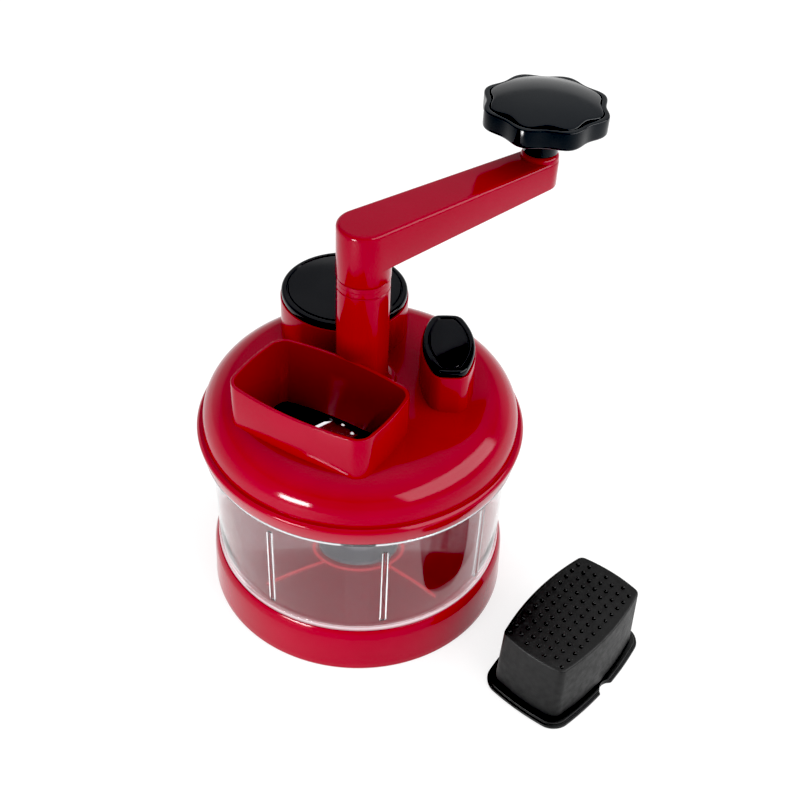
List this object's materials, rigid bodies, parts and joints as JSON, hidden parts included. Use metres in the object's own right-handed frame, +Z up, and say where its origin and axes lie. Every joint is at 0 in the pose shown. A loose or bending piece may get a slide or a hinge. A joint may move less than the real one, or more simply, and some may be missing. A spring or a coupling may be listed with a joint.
{
  "type": "crank_food_chopper",
  "caption": "Hand-cranked food chopper: clear bowl on a red stand, red domed lid with three feed chutes and a crank arm with a palm knob, and a loose pusher beside it",
  "frame": {"origin": "crank axis at worktop level, in the plane of the rubber foot ring", "axes": "+X runs along the long side of the open hopper, +Y from the hopper across the lid towards the crank's side, +Z up along the crank axis"},
  "size_m": [0.2686, 0.2371, 0.2817],
  "materials": {
    "red_gloss": "glossy",
    "black_gloss": "glossy",
    "black_matte": "fine grain",
    "clear_plastic": "clear polished",
    "grey_plastic": "satin",
    "foot_rubber": "matte",
    "shaft_steel": "ground",
    "blade_steel": "polished edge",
    "bush_plastic": "smooth"
  },
  "bodies": {
    "stand": {"base_stand": "red_gloss", "foot_ring": "foot_rubber"},
    "bowl": {"bowl": "clear_plastic", "pivot_pin": "shaft_steel"},
    "lid": {"lid": "red_gloss", "tower_collar": "red_gloss", "lower_bush": "bush_plastic", "upper_bush": "bush_plastic"},
    "crank": {"crank_arm": "red_gloss", "drive_shaft": "shaft_steel", "shaft_clip": "shaft_steel", "thrust_washer": "bush_plastic", "disc_spindle": "grey_plastic", "slicing_disc": "black_matte", "slicing_blade": "blade_steel", "blade_rivets": "shaft_steel", "knob_screw": "shaft_steel", "knob_washer": "bush_plastic"},
    "knob": {"knob_body": "black_gloss", "knob_cap": "black_gloss"},
    "round_pusher": {"round_pusher": "black_matte", "round_pusher_cap": "black_gloss"},
    "small_pusher": {"small_pusher": "black_matte", "small_pusher_cap": "black_gloss"},
    "rect_pusher": {"rect_pusher": "black_matte", "rect_pusher_cap": "black_matte"}
  },
  "joints": [
    {"name": "bowl_lift", "type": "slide", "parent": "stand", "child": "bowl", "axis": [0, 0, 1], "range_m": [0, 0.05]},
    {"name": "lid_lift", "type": "slide", "parent": "bowl", "child": "lid", "axis": [0, 0, 1], "range_m": [0, 0.1]},
    {"name": "crank_turn", "type": "hinge", "parent": "lid", "child": "crank", "pos_m": [0, 0, 0.21], "axis": [0, 0, 1], "continuous": true},
    {"name": "knob_spin", "type": "hinge", "parent": "crank", "child": "knob", "pos_m": [0.04247, 0.11063, 0.26], "axis": [0, 0, 1], "continuous": true},
    {"name": "round_pusher_slide", "type": "slide", "parent": "lid", "child": "round_pusher", "axis": [0, 0, 1], "range_m": [0, 0.042]},
    {"name": "small_pusher_slide", "type": "slide", "parent": "lid", "child": "small_pusher", "axis": [0, 0, 1], "range_m": [0, 0.042]},
    {"name": "rect_pusher_lift", "type": "slide", "parent": "stand", "child": "rect_pusher", "axis": [0, 0, 1], "range_m": [0, 0.1]}
  ]
}
